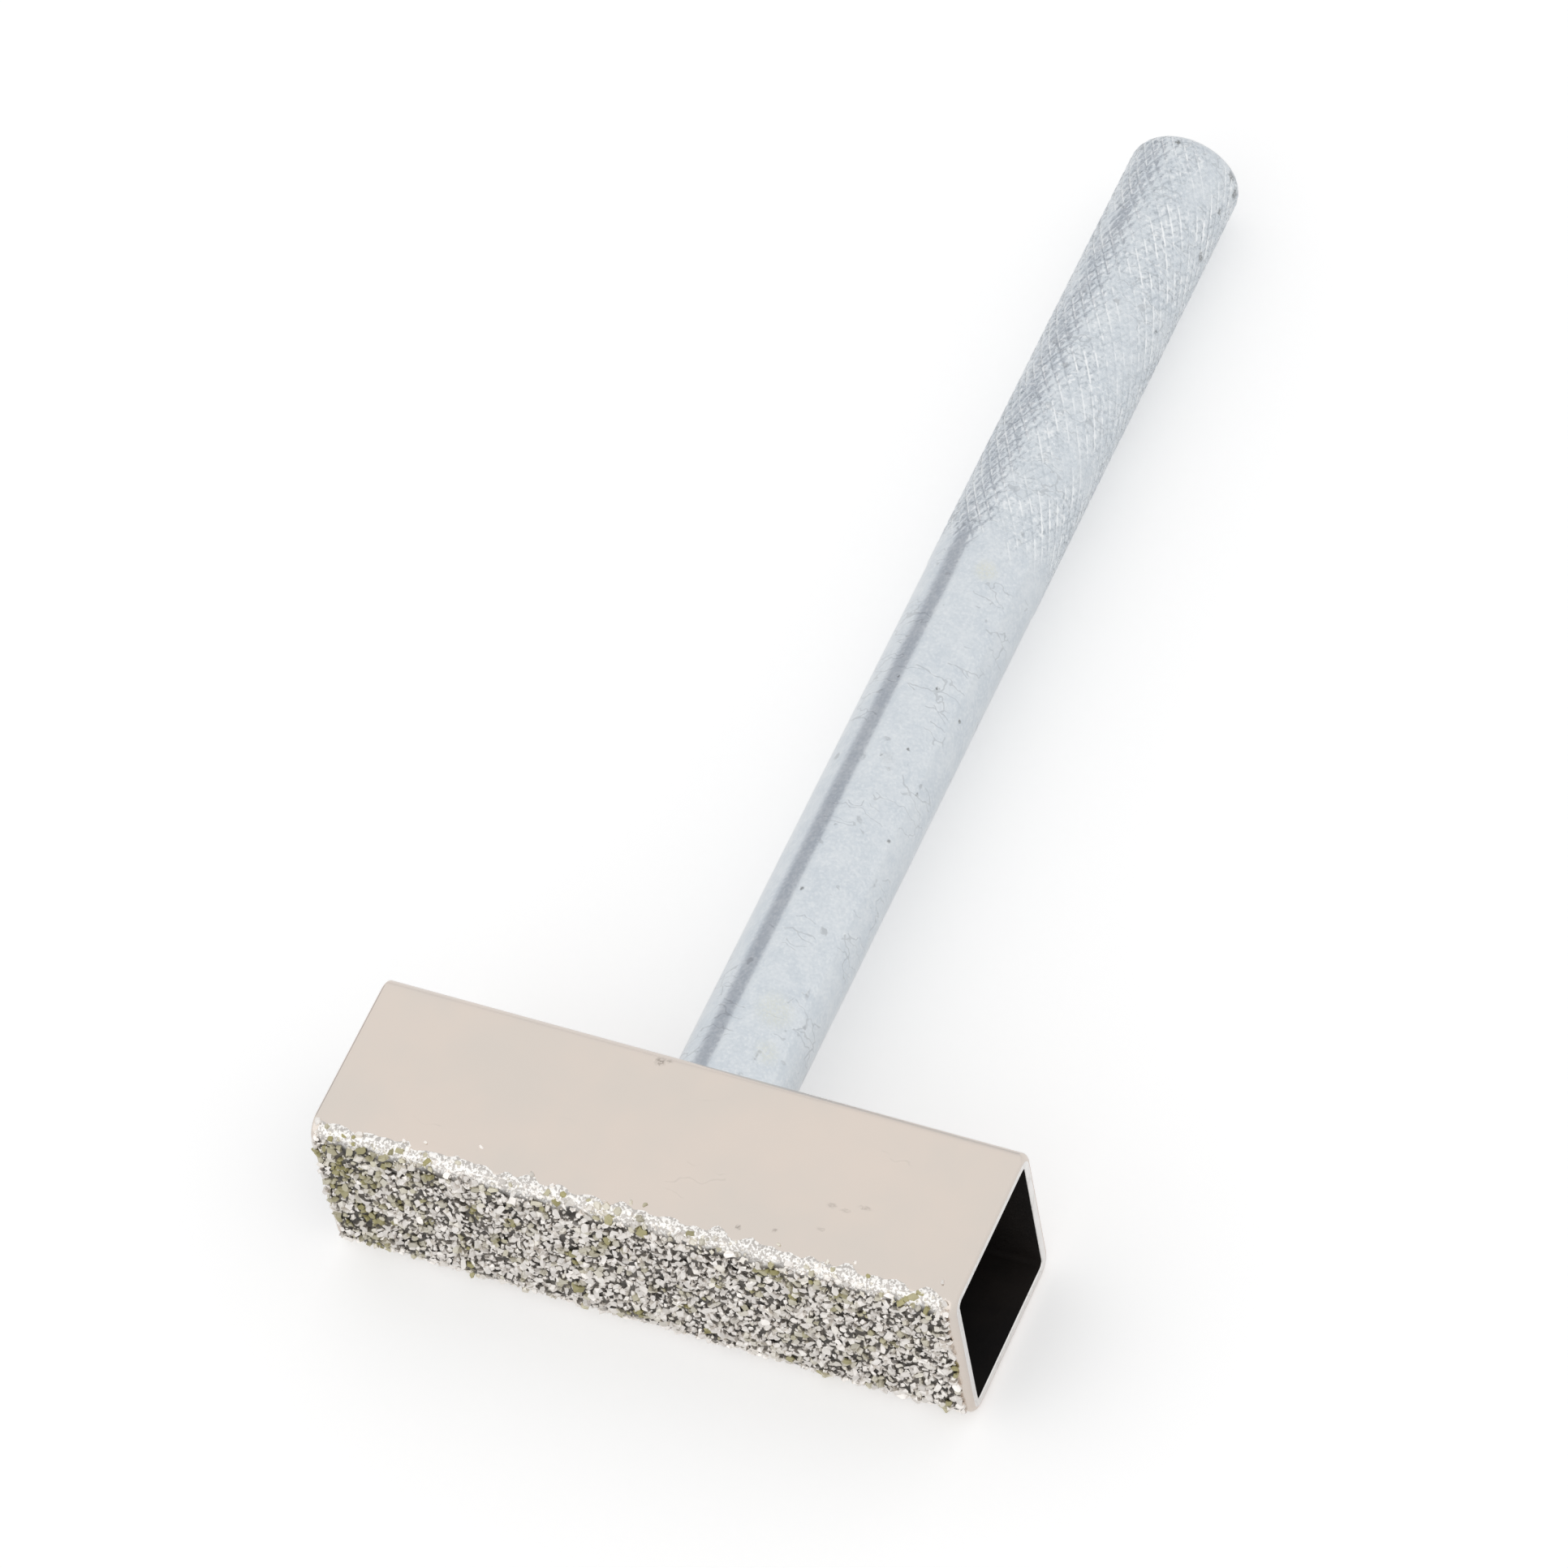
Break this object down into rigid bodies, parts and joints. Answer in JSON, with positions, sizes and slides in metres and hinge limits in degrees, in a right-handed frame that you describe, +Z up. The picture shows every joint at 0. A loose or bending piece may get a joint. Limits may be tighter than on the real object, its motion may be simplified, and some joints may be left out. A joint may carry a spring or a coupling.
{
  "type": "wheel dresser",
  "caption": "Hand-held wheel dresser: an open square tube with diamond grit plated over its front, welded across the end of a round steel handle with a knurled grip.",
  "frame": {"origin": "middle of the base of the bounding box, on the surface that the tool lies on", "axes": "+Y from the grit towards the handle's tip, +X along the head, +Z up. The tool lies on its head's lower back edge and on the handle's tip, so the handle's axis dips 1.705 degrees towards the tip"},
  "size_m": [0.045, 0.0974, 0.0133],
  "materials": {
    "nickel_plate": "smooth pale nickel plate on steel, dark and unplated inside the tube",
    "diamond_grit": "rough grains of diamond in plated nickel",
    "zinc_plate": "bluish white zinc plate on steel, slightly mottled"
  },
  "bodies": {
    "root": {"head_tube": "nickel_plate", "grit_layer": "diamond_grit", "handle": "zinc_plate", "weld_fillet": "nickel_plate"}
  },
  "joints": []
}
